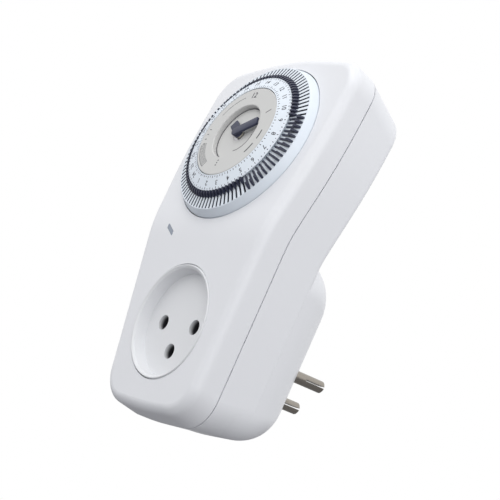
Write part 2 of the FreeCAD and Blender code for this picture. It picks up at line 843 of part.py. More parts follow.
def hour_wheel():
    wheel = tooth_wheel(hour_teeth, hour_module, *hour_level, motion_angle)
    for angle in (30, 150, 270):
        hole = polar(9.0, angle)
        wheel = wheel.cut(cylinder(3.0, -9, 9, hole.x, hole.y))
    wheel = wheel.fuse(cylinder(hour_pipe_radius, hour_level[0], hour_hand_level - fit_gap))
    spigot = hour_hand_level + hand_thickness - 0.1
    wheel = wheel.fuse(cylinder(hour_pipe_step, hour_hand_level - 1, spigot))
    return wheel.cut(cylinder(arbor_radius + run_gap, -9, 9)).removeSplitter()


def motion_wheel():
    centre = polar(centre_distance, motion_angle)
    back = motion_angle + 180
    wheel = tooth_wheel(motion_teeth, cannon_module, *cannon_level, back + 180 / motion_teeth)
    middle = (cannon_level[1] - 0.1, hour_level[1])
    small = tooth_wheel(motion_hour_teeth, hour_module, *middle, back + 180 / motion_hour_teeth)
    top = (hour_level[1] - 0.1, dial_level[1])
    last = tooth_wheel(motion_dial_teeth, dial_module, *top, back + 180 / motion_dial_teeth)
    wheel = wheel.fuse(small).fuse(last).cut(cylinder(stud_radius + run_gap, -9, 9))
    wheel.translate(centre)
    return wheel.removeSplitter()


def motion_stud():
    centre = polar(centre_distance, motion_angle)
    stud = cylinder(stud_radius, plate_front + fit_gap, dial_level[1] - 0.1, centre.x, centre.y)
    return stud.fuse(cylinder(2.0, plate_front + fit_gap, plate_front + 0.7, centre.x, centre.y))


def motor_body():
    x, y = motor_shift
    top = plate_front - plate_thickness - fit_gap
    low = top - motor_length
    can = cylinder(motor_radius, low, top - 4.0, x, y)
    rim = [edge for edge in can.Edges if edge.BoundBox.ZMax < low + 0.1 and edge.Closed]
    can = can.makeChamfer(1.2, rim)
    can = can.fuse(cylinder(motor_radius - 1.0, top - 5.0, top, x, y))
    shaft = polar(centre_distance, motor_angle)
    return can.cut(cylinder(stud_radius + run_gap, low + 3.0, 0, shaft.x, shaft.y))


def motor_pinion():
    shaft = polar(centre_distance, motor_angle)
    low = plate_front - plate_thickness - motor_length + 4.0
    pinion = tooth_wheel(motor_teeth, cannon_module, *cannon_level, 0.0)
    pinion = pinion.fuse(cylinder(stud_radius, low, cannon_level[1] + 0.3))
    pinion.translate(shaft)
    return pinion.removeSplitter()


def switch_body():
    width, length, height = switch_size
    top = plate_front - plate_thickness - fit_gap
    left = feeler_pivot + 0.3 - width
    low = switch_shift - length / 2
    box = block(left, left + width, low, low + length, top - height, top)
    return box.cut(cylinder(button_radius + run_gap, top - 3.2, 0, button_place, 0))


def switch_button():
    top = feeler_level - feeler_thickness / 2 - 0.3
    low = plate_front - plate_thickness - 1.8
    button = cylinder(button_radius, low, top, button_place, 0)
    edge = [e for e in button.Edges if e.Closed and e.BoundBox.ZMin > top - 0.1]
    return button.makeChamfer(0.3, edge)


def feeler_lever():
    half = feeler_width / 2
    low = feeler_level - feeler_thickness / 2
    arm = block(feeler_nose - 0.7, feeler_pivot, -half, half, low, low + feeler_thickness)
    nose = block(feeler_nose - 0.7, feeler_nose + 0.5, -half, half, low, nose_top)
    eye = Part.makeCylinder(1.5, feeler_width, Vector(feeler_pivot, -half, feeler_level), Vector(0, 1, 0))
    bore = Part.makeCylinder(
        feeler_pin_radius + run_gap, 20, Vector(feeler_pivot, -10, feeler_level), Vector(0, 1, 0)
    )
    return arm.fuse(nose).fuse(eye).cut(bore).removeSplitter()


def hour_hand():
    outline = (
        (0.0, -1.7, 0.0),
        (hour_hand_reach - 0.6, -1.4, 0.5),
        (hour_hand_reach, -0.7, 0.3),
        (hour_hand_reach, 0.7, 0.3),
        (hour_hand_reach - 0.6, 1.4, 0.5),
        (0.0, 1.7, 0.0),
    )
    hand = prism(outline, hour_hand_level, hour_hand_level + hand_thickness)
    hand.rotate(Vector(0, 0, 0), Vector(0, 0, 1), hour_hand_angle)
    hub = cylinder(hub_disc_radius, hour_hand_level, hour_hand_level + hand_thickness)
    return hand.fuse(hub).cut(cylinder(hour_pipe_step + 0.02, 0, 9)).removeSplitter()


def minute_hand():
    half = hand_width / 2
    outline = (
        (0.0, -half, 0.0),
        (minute_hand_reach - 0.8, -half, 0.6),
        (minute_hand_reach, -half + 0.9, 0.3),
        (minute_hand_reach, half - 0.9, 0.3),
        (minute_hand_reach - 0.8, half, 0.6),
        (0.0, half, 0.0),
    )
    hand = prism(outline, minute_level, minute_level + hand_thickness)
    hand.rotate(Vector(0, 0, 0), Vector(0, 0, 1), minute_hand_angle)
    hub = cylinder(hub_disc_radius, minute_level, minute_level + hand_thickness)
    return hand.fuse(hub).cut(cylinder(hand_spigot + 0.02, 0, 9)).removeSplitter()


def straps():
    """The four straps: neutral, earth, live in and live out."""
    (neutral_x, neutral_y), (live_x, live_y), (earth_x, earth_y) = contact_places
    half = strap_half_length
    depth = block_depth - fit_gap - strap_thickness
    export("neutral_strap", placed(
        strap_plate(neutral_x - half, neutral_x + half, -half - socket_rise, half, depth), front_frame
    ))
    export("earth_strap", placed(
        strap_plate(-half, half, earth_y - half - socket_rise, earth_y + half, depth), front_frame
    ))
    low, high = live_strap(riser_in, depth, -half - socket_rise, feeler_pivot, -6.0)
    foot = strap_plate(live_x - half, riser_in + riser_width, -half - socket_rise, -0.5, depth)
    export("live_strap_in", low.fuse(high).fuse(placed(foot, front_frame)).removeSplitter())
    step = depth - live_step
    low, high = live_strap(riser_out, step, -half, feeler_pivot - 4, -1.0)
    foot = strap_plate(live_x - half, riser_out + riser_width, -half, half, step)
    export("live_strap_out", low.fuse(high).fuse(placed(foot, front_frame)).removeSplitter())


def write_housing():
    outer = outer_body()
    cavity = skin(wall, wall, shell_depth - wall)
    cavity = cavity.fuse(boss(wall + boss_step, body_depth - wall, cavity_steps))
    front_of_tongue = parting_depth - tongue_height
    step = skin(wall / 2, front_of_tongue - fit_gap, parting_depth + 1)
    tongue = skin(wall / 2 + tongue_gap, front_of_tongue, parting_depth + parting_gap + 1)
    tongue = tongue.cut(cavity)
    export("front_shell", front_shell(outer, cavity, step))
    export("rear_shell", rear_shell(outer, cavity, tongue))
    screws = []
    seat = -shell_depth + counterbore_depth - fit_gap
    for x, y in post_places:
        screws.append(placed(screw(x, y, seat, -wall - 1.5), dial_frame))
    seat = -body_depth + pad_counterbore - fit_gap
    for x, y in pad_places:
        screws.append(placed(screw(x, y, seat, -block_end + 8), front_frame))
    export("housing_screws", Part.makeCompound(screws))
    export("socket_insert", placed(socket_insert(), front_frame))
    lens = window_prism(fit_gap, -wall - 1, 0.0)
    lens_back = -wall - 0.35
    lens = lens.fuse(window_prism(-lens_flange, lens_back - 0.8, lens_back))
    export("indicator_lens", placed(lens, front_frame))
    x, y = window_place
    lamp = cylinder(lamp_radius, -4.0 - lamp_length, -4.0, x, y)
    tip = [e for e in lamp.Edges if e.Closed and e.BoundBox.ZMin > -4.1]
    export("indicator_lamp", placed(lamp.makeFillet(1.4, tip), front_frame))
    back = -4.0 - lamp_length - fit_gap
    resistor = cylinder(0.3, back - 2.0, back, x, y)
    resistor = resistor.fuse(cylinder(resistor_radius, back - 2.0 - resistor_length, back - 1.5, x, y))
    export("lamp_resistor", placed(resistor, front_frame))


def write_plug():
    drops = (0.0, 0.0, -earth_drop)
    names = ("neutral", "live", "earth")
    for number, name in enumerate(names):
        x, y = contact_places[number]
        export(name + "_pin", plug_pin(x, drops[number]))
        rear = block_depth - 2 * fit_gap - strap_thickness
        if name == "live":
            rear = rear - live_step
        export(name + "_contact", placed(sprung_contact(x, y, rear), front_frame))
    straps()
    export("contact_block", placed(contact_block(), front_frame))


def write_clockwork():
    pivot = Part.makeCylinder(
        feeler_pin_radius, feeler_width + 3.2,
        Vector(feeler_pivot, -feeler_width / 2 - 1.6, feeler_level), Vector(0, 1, 0)
    )
    pieces = {
        "mechanism_plate": mechanism_plate(),
        "bridge_plate": bridge_plate(),
        "centre_pipe": centre_pipe(),
        "clock_disc": clock_disc(),
        "motion_stud": motion_stud(),
        "motor_body": motor_body(),
        "switch_body": switch_body(),
        "feeler_pin": pivot,
        "dial_body": dial_body(),
        "numeral_ring": numeral_ring(),
        "hour_wheel": hour_wheel(),
        "hour_hand": hour_hand(),
        "minute_arbor": minute_arbor(),
        "minute_hand": minute_hand(),
        "motion_wheel": motion_wheel(),
        "motor_pinion": motor_pinion(),
        "feeler_lever": feeler_lever(),
        "switch_button": switch_button(),
    }
    for name, shape in pieces.items():
        export(name, placed(shape, dial_frame))


def write_trippers():
    groups = {"trippers_in": [], "trippers_out": []}
    for quarter in range(slot_count):
        piece = placed(tripper(quarter), dial_frame)
        if quarter in singles:
            export("tripper_" + str(quarter - singles[0] + 1), piece)
        elif is_out(quarter):
            groups["trippers_out"].append(piece)
        else:
            groups["trippers_in"].append(piece)
    for name, pieces in groups.items():
        export(name, Part.makeCompound(pieces))


write_housing()
write_plug()
write_clockwork()
write_trippers()
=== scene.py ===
"""Looks of a white plug-in timer switch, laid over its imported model."""

import math

import bmesh
import bpy
from bpy.props import FloatProperty, FloatVectorProperty, PointerProperty
from mathutils import Matrix, Vector


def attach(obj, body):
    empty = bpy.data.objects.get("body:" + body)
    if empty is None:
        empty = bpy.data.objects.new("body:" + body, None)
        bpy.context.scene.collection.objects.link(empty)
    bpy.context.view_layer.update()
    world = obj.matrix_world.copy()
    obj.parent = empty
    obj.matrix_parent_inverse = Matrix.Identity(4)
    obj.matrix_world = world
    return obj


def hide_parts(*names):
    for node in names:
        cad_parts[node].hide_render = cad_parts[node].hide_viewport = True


bl_info = {
    "name": "Plug-in timer switch",
    "version": (1, 0, 0),
    "blender": (4, 5, 0),
    "location": "3D View > Sidebar > Timer",
    "description": "Dresses the packed timer switch with print, colours and light",
    "category": "Object",
}

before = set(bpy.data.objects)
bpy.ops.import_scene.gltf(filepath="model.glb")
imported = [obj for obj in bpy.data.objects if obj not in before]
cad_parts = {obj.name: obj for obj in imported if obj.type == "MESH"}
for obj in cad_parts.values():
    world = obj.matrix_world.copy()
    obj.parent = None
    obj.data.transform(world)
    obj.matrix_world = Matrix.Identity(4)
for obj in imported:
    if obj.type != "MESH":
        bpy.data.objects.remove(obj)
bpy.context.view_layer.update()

MM = 0.001

# Where the dial stands: its centre on the leaning front, and the lean of that front.
LEAN = math.radians(10.9)
DIAL_CENTRE = Vector((0.0, -40.808, 71.091)) * MM
DIAL = Matrix.Translation(DIAL_CENTRE) @ Matrix.Rotation(math.radians(90) - LEAN, 4, "X")

# Edges sharper than this stay sharp, in degrees.
SHARP_ANGLE = 28.0

# Heights of the surfaces that carry print, outward from the leaning front, in millimetres.
# The ring's two pairs are (radius, height); the numeral 10 stands at an angle from the x axis.
FACE_HEIGHT = 7.0
WELL_FLOOR = 5.0
RING_INNER = (18.95, 7.0)
RING_OUTER = (24.4, 5.45)
RING_EDGE = 0.35
RING_BEVEL = 0.12
RING_LIP = 0.03
RING_STEPS = 192
HOUR_TEN = 26.3
HOURS = 24
QUARTERS = 96

# Where the floor of the socket's recess lies, and over what depth its holes go dark.
RECESS_FLOOR = -42.96
HOLE_SHADE = (0.3, 2.2)
HOLE_DARK = (0.03, 0.03, 0.035)

# The comb falls outward; a tripper rests on it and slides between its two places.
COMB_EDGE = 3.05
COMB_FALL = 0.205
COMB_OUTER = 30.2
COMB_INNER = 24.45
TRIPPER_END = 30.1
TRIPPER_LENGTH = 5.6
TRIPPER_TRAVEL = 3.6
TRIPPER_LIFT = 0.05
TRIPPER_TAPER = 0.82
NIB_START = 1.95
NIB_RISE = 0.07
NIB_END = 0.9
STEM_DROP = 1.95
STEM_SIZE = (1.5, 0.56, 2.1)
# Depth below the comb's top past which its slot walls and underside get painted shade in the
# tripper navy.
SLOT_SHADE = 0.12

# Sections of a tripper's head: distance in from its outer end, half width, height.
TRIPPER_SECTIONS = (
    (TRIPPER_LENGTH, 0.36, 0.45),
    (NIB_START + NIB_RISE, 0.40, 0.55),
    (NIB_START, 0.43, 1.60),
    (NIB_END, 0.45, 1.45),
    (0.0, 0.42, 0.60),
)

# Quarters whose trippers are pushed out, and those that slide on joints of their own.
FIRST_OUT = 20
OUT_COUNT = 17
SINGLES = range(33, 41)

# Ticks of the hour ring: ends of both rows, and length at each quarter of an hour.
TICK_INNER = 19.3
TICK_OUTER = 24.0
TICK_LENGTHS = (0.9, 0.5, 0.75, 0.5)
OUTER_TICK_SHARE = 0.8

# Arcs on the clock face: radius, start, end, width, height. The last is no print: it is a dark
# ring of painted shade for the shadowed gap at the edge of the well floor.
FACE_ARCS = (
    (15.3, -38.0, -22.0, 0.55, FACE_HEIGHT),
    (15.3, -14.5, -0.6, 0.55, FACE_HEIGHT),
    (15.6, 110.0, 152.0, 0.18, FACE_HEIGHT),
    (17.5, -160.0, -120.0, 0.15, FACE_HEIGHT),
    (7.45, -78.0, -2.0, 0.25, WELL_FLOOR),
    # Painted shade: a dark ring in the gap at the well floor's edge, drawn in the print ink.
    (10.95, 0.0, 357.0, 0.4, WELL_FLOOR),
)
ARC_STEP = 3

# Bars on the clock face: count, first radius, step, first angle, step, length, width.
FACE_BARS = (
    (1, 15.2, 0.0, 31.3, 0.0, 2.6, 0.3),
    (17, 16.1, 0.0, -160.0, 2.5, 2.7, 0.16),
    (4, 16.3, 0.0, 176.0, 7.5, 0.9, 0.3),
    (3, 12.7, 1.0, -93.0, 0.0, 0.45, 0.55),
)
TWELVE_PLACE = (-0.8, 15.5, FACE_HEIGHT)
TWELVE_SIZE = 2.3

# Share of the type size that a capital fills, and how much its strokes are thickened.
CAPITAL_SHARE = 0.70
STROKE_SHARE = 0.012

# Hands: piece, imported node, body, angle, reach, half width, underside, top.
HANDS = (
    ("hour_pointer", "hour_hand", "hour", 143.0, 6.9, 1.75, 5.35, 6.15),
    ("minute_pointer", "minute_hand", "minute", 23.5, 10.3, 1.6, 6.4, 7.3),
)
HUB_RADIUS = 1.95
HUB_STEPS = 12
TIP_LENGTH = 0.35
TIP_SHARE = 0.9
HAND_BEVEL = 0.1

# Stage, in metres and degrees.
SKY_BAND = 0.6
FLOOR_HALF = 1.5
AIM_POINT = (0.0, -0.03, 0.04)
KEY_PLACE = (0.75, -0.35, 0.05)
KEY_SIZE = (0.8, 0.8)
TOP_PLACE = (-0.10, -0.45, 0.75)
TOP_SIZE = (0.6, 0.4)
CAMERA_PLACE = (0.352158, -0.274559, -0.046355)
CAMERA_TURN = (101.4591, -18.8726, 50.9268)
CAMERA_LENS = 88.717
CAMERA_SENSOR = 36.0
CAMERA_RANGE = (0.01, 20.0)


def ring_height(radius):
    share = (radius - RING_INNER[0]) / (RING_OUTER[0] - RING_INNER[0])
    return RING_INNER[1] + share * (RING_OUTER[1] - RING_INNER[1])


def comb_height(radius):
    return COMB_EDGE + COMB_FALL * (COMB_OUTER - radius)


def tripper_angle(quarter):
    return hour_angle(0) + (quarter + 0.5) * 360 / QUARTERS


def hour_angle(hour):
    return HOUR_TEN + 360 / HOURS * (hour - 10)


class TimerBodyLook(bpy.types.PropertyGroup):
    """Colours of the housing, the socket and the plug."""

    shell: FloatVectorProperty(
        name="Shell", description="White of the two shells", subtype="COLOR",
        size=3, min=0, max=1, default=(0.81, 0.82, 0.85),
    )
    socket: FloatVectorProperty(
        name="Socket", description="White of the socket insert", subtype="COLOR",
        size=3, min=0, max=1, default=(0.78, 0.79, 0.81),
    )
    nickel: FloatVectorProperty(
        name="Pins", description="Nickel of the plug pins", subtype="COLOR",
        size=3, min=0, max=1, default=(0.36, 0.33, 0.29),
    )
    lens: FloatVectorProperty(
        name="Window", description="Blue grey of the indicator window", subtype="COLOR",
        size=3, min=0, max=1, default=(0.26, 0.30, 0.37),
    )
    roughness: FloatProperty(
        name="Shell roughness", description="How matt the moulded shells are",
        subtype="FACTOR", min=0, max=1, default=0.34,
    )


class TimerDialLook(bpy.types.PropertyGroup):
    """Colours and print sizes of the dial."""

    pale: FloatVectorProperty(
        name="Dial", description="Pale blue white of the rim, comb and ring", subtype="COLOR",
        size=3, min=0, max=1, default=(0.78, 0.84, 0.91),
    )
    face: FloatVectorProperty(
        name="Clock face", description="Warm grey of the clock face", subtype="COLOR",
        size=3, min=0, max=1, default=(0.62, 0.62, 0.61),
    )
    navy: FloatVectorProperty(
        name="Trippers", description="Dark blue of trippers and hands", subtype="COLOR",
        size=3, min=0, max=1, default=(0.028, 0.032, 0.062),
    )
    ink: FloatVectorProperty(
        name="Print", description="Dark grey of the printed numerals", subtype="COLOR",
        size=3, min=0, max=1, default=(0.05, 0.05, 0.065),
    )
    numeral_size: FloatProperty(
        name="Numeral height", description="Height of the hour numerals",
        unit="LENGTH", default=1.75 * MM, min=0.5 * MM, max=4 * MM,
    )
    numeral_radius: FloatProperty(
        name="Numeral radius", description="Distance of the numerals from the dial axis",
        unit="LENGTH", default=21.75 * MM, min=19 * MM, max=24 * MM,
    )
    print_depth: FloatProperty(
        name="Print thickness", description="How far the print stands on its surface",
        unit="LENGTH", default=0.03 * MM, min=0.005 * MM, max=0.2 * MM,
    )
    tick_width: FloatProperty(
        name="Tick width", description="Width of the quarter hour ticks",
        unit="LENGTH", default=0.24 * MM, min=0.05 * MM, max=0.6 * MM,
    )


class TimerStageLook(bpy.types.PropertyGroup):
    """Floor, light and camera."""

    floor_drop: FloatProperty(
        name="Floor", description="How far the floor lies below the plug axis",
        unit="LENGTH", default=0.19, min=0.12, max=0.6,
    )
    sky_top: FloatProperty(
        name="Light from above", description="Brightness of the light that falls from above",
        default=1.02, min=0, max=5,
    )
    sky_low: FloatProperty(
        name="Light from below", description="Brightness of the light that rises from below",
        default=0.68, min=0, max=5,
    )
    key_power: FloatProperty(
        name="Key light", description="Power of the large soft light on the right",
        unit="POWER", default=2.5, min=0, max=50,
    )
    top_power: FloatProperty(
        name="Top light", description="Power of the soft light over the front",
        unit="POWER", default=1.3, min=0, max=50,
    )


class Maths:
    """A shader value whose arithmetic and comparisons build nodes."""

    def __init__(self, tree, socket):
        self.tree = tree
        self.socket = socket

    def node(self, kind, settings=None, **inputs):
        """A new node of that kind in the same tree, with its inputs joined or set."""
        made = self.tree.nodes.new(kind)
        for name, value in (settings or {}).items():
            setattr(made, name, value)
        for name, value in inputs.items():
            target = made.inputs[name.replace("_", " ")]
            if isinstance(value, Maths):
                self.tree.links.new(value.socket, target)
            else:
                target.default_value = value
        return made

    def _do(self, operation, first, second):
        made = self.tree.nodes.new("ShaderNodeMath")
        made.operation = operation
        for slot, value in enumerate((first, second)):
            if isinstance(value, Maths):
                self.tree.links.new(value.socket, made.inputs[slot])
            else:
                made.inputs[slot].default_value = value
        return Maths(self.tree, made.outputs[0])

    def __add__(self, other):
        return self._do("ADD", self, other)

    def __radd__(self, other):
        return self._do("ADD", other, self)

    def __sub__(self, other):
        return self._do("SUBTRACT", self, other)

    def __rsub__(self, other):
        return self._do("SUBTRACT", other, self)

    def __mul__(self, other):
        return self._do("MULTIPLY", self, other)

    def __rmul__(self, other):
        return self._do("MULTIPLY", other, self)

    def power(self, other):
        return self._do("POWER", self, other)

    def above(self, other):
        return self._do("GREATER_THAN", self, other)


def coordinates(tree, kind="Object"):
    return Maths(tree, tree.nodes.new("ShaderNodeTexCoord").outputs[kind])


def axes(place):
    """The x, y and z of a place."""
    split = place.node("ShaderNodeSeparateXYZ", Vector=place)
    return [Maths(place.tree, split.outputs[name]) for name in "XYZ"]


def new_material(name):
    material = bpy.data.materials.new(name)
    material.use_nodes = True
    shader = material.node_tree.nodes["Principled BSDF"]
    return material, shader, coordinates(material.node_tree)


def noise(place, scale, detail=2.0):
    made = place.node("ShaderNodeTexNoise", Vector=place, Scale=scale, Detail=detail)
    return Maths(place.tree, made.outputs["Fac"])


def tinted(place, colour, spread, scale):
    """The colour, lighter and darker by spread in soft patches."""
    value = noise(place, scale) * (2 * spread) + (1 - spread)
    made = place.node("ShaderNodeHueSaturation", Value=value)
    made.inputs["Color"].default_value = (*colour, 1)
    return Maths(place.tree, made.outputs["Color"])


def link(shader, name, value):
    value.tree.links.new(value.socket, shader.inputs[name])


def grained(shader, place, scale, strength):
    """Fine moulding grain as a bump."""
    bump = place.node(
        "ShaderNodeBump", Height=noise(place, scale, 4.0), Strength=strength, Distance=0.02 * MM,
    )
    link(shader, "Normal", Maths(place.tree, bump.outputs["Normal"]))


def plastic(name, colour, roughness, grain=0.15, spread=0.012, coat=0.0):
    material, shader, place = new_material(name)
    link(shader, "Base Color", tinted(place, colour, spread, 60.0))
    link(shader, "Roughness", noise(place, 900.0) * 0.1 + (roughness - 0.05))
    shader.inputs["Specular IOR Level"].default_value = 0.42
    shader.inputs["Coat Weight"].default_value = coat
    shader.inputs["Coat Roughness"].default_value = 0.12
    grained(shader, place, 2600.0, grain)
    return material


def metal(name, colour, roughness, grain=0.3):
    """Metal with faint drawing lines along the plug axis."""
    material, shader, place = new_material(name)
    shader.inputs["Metallic"].default_value = 1.0
    stretch = place.node("ShaderNodeMapping", Vector=place, Scale=(1.0, 0.06, 1.0))
    drawn = Maths(place.tree, stretch.outputs["Vector"])
    link(shader, "Base Color", tinted(drawn, colour, 0.10, 1800.0))
    link(shader, "Roughness", noise(drawn, 2400.0) * 0.2 + (roughness - 0.1))
    grained(shader, drawn, 3000.0, grain)
    return material


def glassy(name, colour):
    """Tinted window plastic over a small lamp."""
    material, shader, place = new_material(name)
    link(shader, "Base Color", tinted(place, colour, 0.10, 500.0))
    shader.inputs["Roughness"].default_value = 0.16
    shader.inputs["Coat Weight"].default_value = 0.6
    shader.inputs["Coat Roughness"].default_value = 0.06
    grained(shader, place, 1500.0, 0.1)
    return material


def paint(node, material):
    """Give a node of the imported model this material, with soft shading over its curves."""
    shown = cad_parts[node]
    shown.data.materials.clear()
    shown.data.materials.append(material)
    soften(shown)


def soften(shown):
    """Shade smooth, with edges kept where faces meet at more than the sharp angle."""
    mesh = shown.data
    work = bmesh.new()
    work.from_mesh(mesh)
    limit = math.radians(SHARP_ANGLE)
    for face in work.faces:
        face.smooth = True
    for edge in work.edges:
        if len(edge.link_faces) == 2:
            edge.smooth = edge.calc_face_angle(0.0) < limit
        else:
            edge.smooth = False
    work.to_mesh(mesh)
    work.free()


def new_piece(name, work, material, body):
    """Make an object of the worked mesh and let it ride on a body."""
    mesh = bpy.data.meshes.new(name)
    bmesh.ops.recalc_face_normals(work, faces=work.faces)
    work.to_mesh(mesh)
    work.free()
    mesh.materials.append(material)
    piece = bpy.data.objects.new(name, mesh)
    bpy.context.scene.collection.objects.link(piece)
    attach(piece, body)
    return piece


def cone_frame(radius, angle, slope=0.0, height=0.0):
    """Place on the dial: x runs outward, y anticlockwise, z off the surface."""
    turn = Matrix.Rotation(math.radians(angle), 4, "Z")
    shift = Matrix.Translation((radius, 0, height))
    return DIAL @ turn @ shift @ Matrix.Rotation(slope, 4, "Y")


def add_bar(work, place, length, width, thickness):
    """A flat printed bar, its length along x of the place."""
    made = bmesh.ops.create_cube(work, size=1.0)
    scale = Matrix.Diagonal((length, width, thickness, 1.0))
    lift = Matrix.Translation((0, 0, thickness / 2))
    bmesh.ops.transform(work, matrix=place @ lift @ scale, verts=made["verts"])


def add_skin(work, rows):
    """Close a skin over rows of four corners, with a face at each end."""
    for before, after in zip(rows, rows[1:]):
        for side in range(4):
            other = (side + 1) % 4
            work.faces.new((before[side], before[other], after[other], after[side]))
    work.faces.new(rows[0])
    work.faces.new(rows[-1])


def add_arc(work, radius, start, end, width, height, thickness):
    """A flat printed arc on the clock face."""
    steps = max(4, int(abs(end - start) / ARC_STEP))
    rows = []
    for number in range(steps + 1):
        angle = math.radians(start + (end - start) * number / steps)
        row = []
        for reach, rise in (
            (radius - width / 2, height),
            (radius + width / 2, height),
            (radius + width / 2, height + thickness),
            (radius - width / 2, height + thickness),
        ):
            corner = Vector((reach * math.cos(angle), reach * math.sin(angle), rise))
            row.append(work.verts.new(DIAL @ corner))
        rows.append(row)
    add_skin(work, rows)


def add_turned(work, outline):
    """A ring about the dial axis, turned from points (radius, height) in millimetres."""
    points = [work.verts.new((radius * MM, 0, height * MM)) for radius, height in outline]
    edges = [work.edges.new(pair) for pair in zip(points, points[1:] + points[:1])]
    bmesh.ops.spin(
        work, geom=points + edges, cent=(0, 0, 0), axis=(0, 0, 1), angle=2 * math.pi,
        steps=RING_STEPS, use_merge=True,
    )
    bmesh.ops.transform(work, matrix=DIAL, verts=work.verts)


def add_solid(work, outline, low, high, place, round_by=0.0):
    """A flat plate of the outline (millimetres), its upper edges rounded."""
    under = [work.verts.new((x * MM, y * MM, low * MM)) for x, y in outline]
    over = [work.verts.new((x * MM, y * MM, high * MM)) for x, y in outline]
    count = len(outline)
    work.faces.new(under)
    top = work.faces.new(over)
    for number in range(count):
        other = (number + 1) % count
        work.faces.new((under[number], under[other], over[other], over[number]))
    verts = set(under + over)
    if round_by:
        made = bmesh.ops.bevel(
            work, geom=list(top.edges), offset=round_by * MM, segments=2,
            affect="EDGES", profile=0.5, material=-1,
        )
        verts = {v for v in verts if v.is_valid} | set(made["verts"])
    bmesh.ops.transform(work, matrix=place, verts=list(verts))


def tidy_outline(points, least=0.05):
    """The outline without points that lie nearly on top of the one before."""
    kept = []
    for point in points:
        if not kept or math.dist(point, kept[-1]) > least:
            kept.append(point)
    if math.dist(kept[0], kept[-1]) < least:
        kept.pop()
    return kept


def text_mesh(words, size, thickness):
    """A mesh of plain lettering, centred on its origin."""
    curve = bpy.data.curves.new("lettering", "FONT")
    curve.body = words
    curve.size = size / CAPITAL_SHARE
    curve.align_x = "CENTER"
    curve.align_y = "CENTER"
    curve.extrude = thickness / 2
    curve.offset = size * STROKE_SHARE
    curve.resolution_u = 3
    holder = bpy.data.objects.new("lettering", curve)
    bpy.context.scene.collection.objects.link(holder)
    bpy.context.view_layer.update()
    graph = bpy.context.evaluated_depsgraph_get()
    mesh = bpy.data.meshes.new_from_object(holder.evaluated_get(graph))
    bpy.data.objects.remove(holder)
    bpy.data.curves.remove(curve)
    return mesh


def add_text(work, words, place, size, thickness):
    mesh = text_mesh(words, size, thickness)
    mesh.transform(place @ Matrix.Translation((0, 0, thickness / 2)))
    work.from_mesh(mesh)
    bpy.data.meshes.remove(mesh)


class TIMER_OT_shells(bpy.types.Operator):
    """White moulded shells, their screws and the indicator window"""

    bl_idname = "timer.shells"
    bl_label = "Shells and window"

    def execute(self, context):
        look = context.scene.timer_body
        white = plastic("shell plastic", look.shell, look.roughness, grain=0.10, coat=0.12)
        paint("front_shell", white)
        paint("rear_shell", white)
        paint("housing_screws", metal("screw steel", (0.45, 0.45, 0.46), 0.35))
        paint("indicator_lens", glassy("window plastic", look.lens))
        paint("indicator_lamp", glassy("lamp glass", (0.75, 0.42, 0.18)))
        paint("lamp_resistor", plastic("resistor lacquer", (0.45, 0.27, 0.11), 0.4))
        return {"FINISHED"}


class TIMER_OT_socket(bpy.types.Operator):
    """Socket insert, contacts and the block behind them"""

    bl_idname = "timer.socket"
    bl_label = "Socket"

    def execute(self, context):
        look = context.scene.timer_body
        cup = plastic("socket plastic", look.socket, 0.3, grain=0.08, coat=0.15)
        paint("socket_insert", cup)
        darken_holes(cup)
        brass = metal("contact brass", (0.20, 0.14, 0.06), 0.5)
        for pole in ("live", "neutral", "earth"):
            paint(pole + "_contact", brass)
        for strap in ("neutral_strap", "earth_strap", "live_strap_in", "live_strap_out"):
            paint(strap, brass)
        paint("contact_block", plastic("block plastic", (0.30, 0.30, 0.29), 0.55))
        return {"FINISHED"}


class TIMER_OT_plug(bpy.types.Operator):
    """Slit nickel plug pins"""

    bl_idname = "timer.plug"
    bl_label = "Plug pins"

    def execute(self, context):
        look = context.scene.timer_body
        nickel = metal("pin nickel", look.nickel, 0.32)
        for pole in ("live", "neutral", "earth"):
            paint(pole + "_pin", nickel)
        return {"FINISHED"}


def is_out(quarter):
    return FIRST_OUT <= quarter < FIRST_OUT + OUT_COUNT


def tripper_sets():
    """Name, quarters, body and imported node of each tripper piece."""
    rest = [quarter for quarter in range(QUARTERS) if quarter not in SINGLES]
    yield "trippers_pushed_in", [q for q in rest if not is_out(q)], "dial", "trippers_in"
    yield "trippers_pushed_out", [q for q in rest if is_out(q)], "dial", "trippers_out"
    for number, quarter in enumerate(SINGLES, 1):
        yield f"tripper_piece_{number}", [quarter], f"tripper_body_{number}", f"tripper_{number}"


def add_tripper(work, quarter):
    """Head with a raised nib at its outer end, and the stem that runs in the slot."""
    shift = 0.0 if is_out(quarter) else -TRIPPER_TRAVEL
    outer = TRIPPER_END + shift
    place = DIAL @ Matrix.Rotation(math.radians(tripper_angle(quarter)), 4, "Z")
    rows = []
    for inward, half, height in TRIPPER_SECTIONS:
        radius = outer - inward
        low = comb_height(radius) + TRIPPER_LIFT
        high = low + height
        row = []
        for side, rise in ((-1, low), (1, low), (TRIPPER_TAPER, high), (-TRIPPER_TAPER, high)):
            row.append(work.verts.new(place @ (Vector((radius, side * half, rise)) * MM)))
        rows.append(row)
    add_skin(work, rows)
    foot = Vector((outer - NIB_END, 0, comb_height(outer) - STEM_DROP))
    add_bar(work, place @ Matrix.Translation(foot * MM), *(side * MM for side in STEM_SIZE))


def darken(material, share, colour):
    """Turn the base colour into this one as far as the share says."""
    tree = material.node_tree
    shader = tree.nodes["Principled BSDF"]
    tint = shader.inputs["Base Color"].links[0].from_socket
    mix = share.node("ShaderNodeMix", {"data_type": "RGBA"})
    tree.links.new(share.socket, mix.inputs["Factor"])
    tree.links.new(tint, mix.inputs[6])
    mix.inputs[7].default_value = (*colour, 1)
    tree.links.new(mix.outputs[2], shader.inputs["Base Color"])


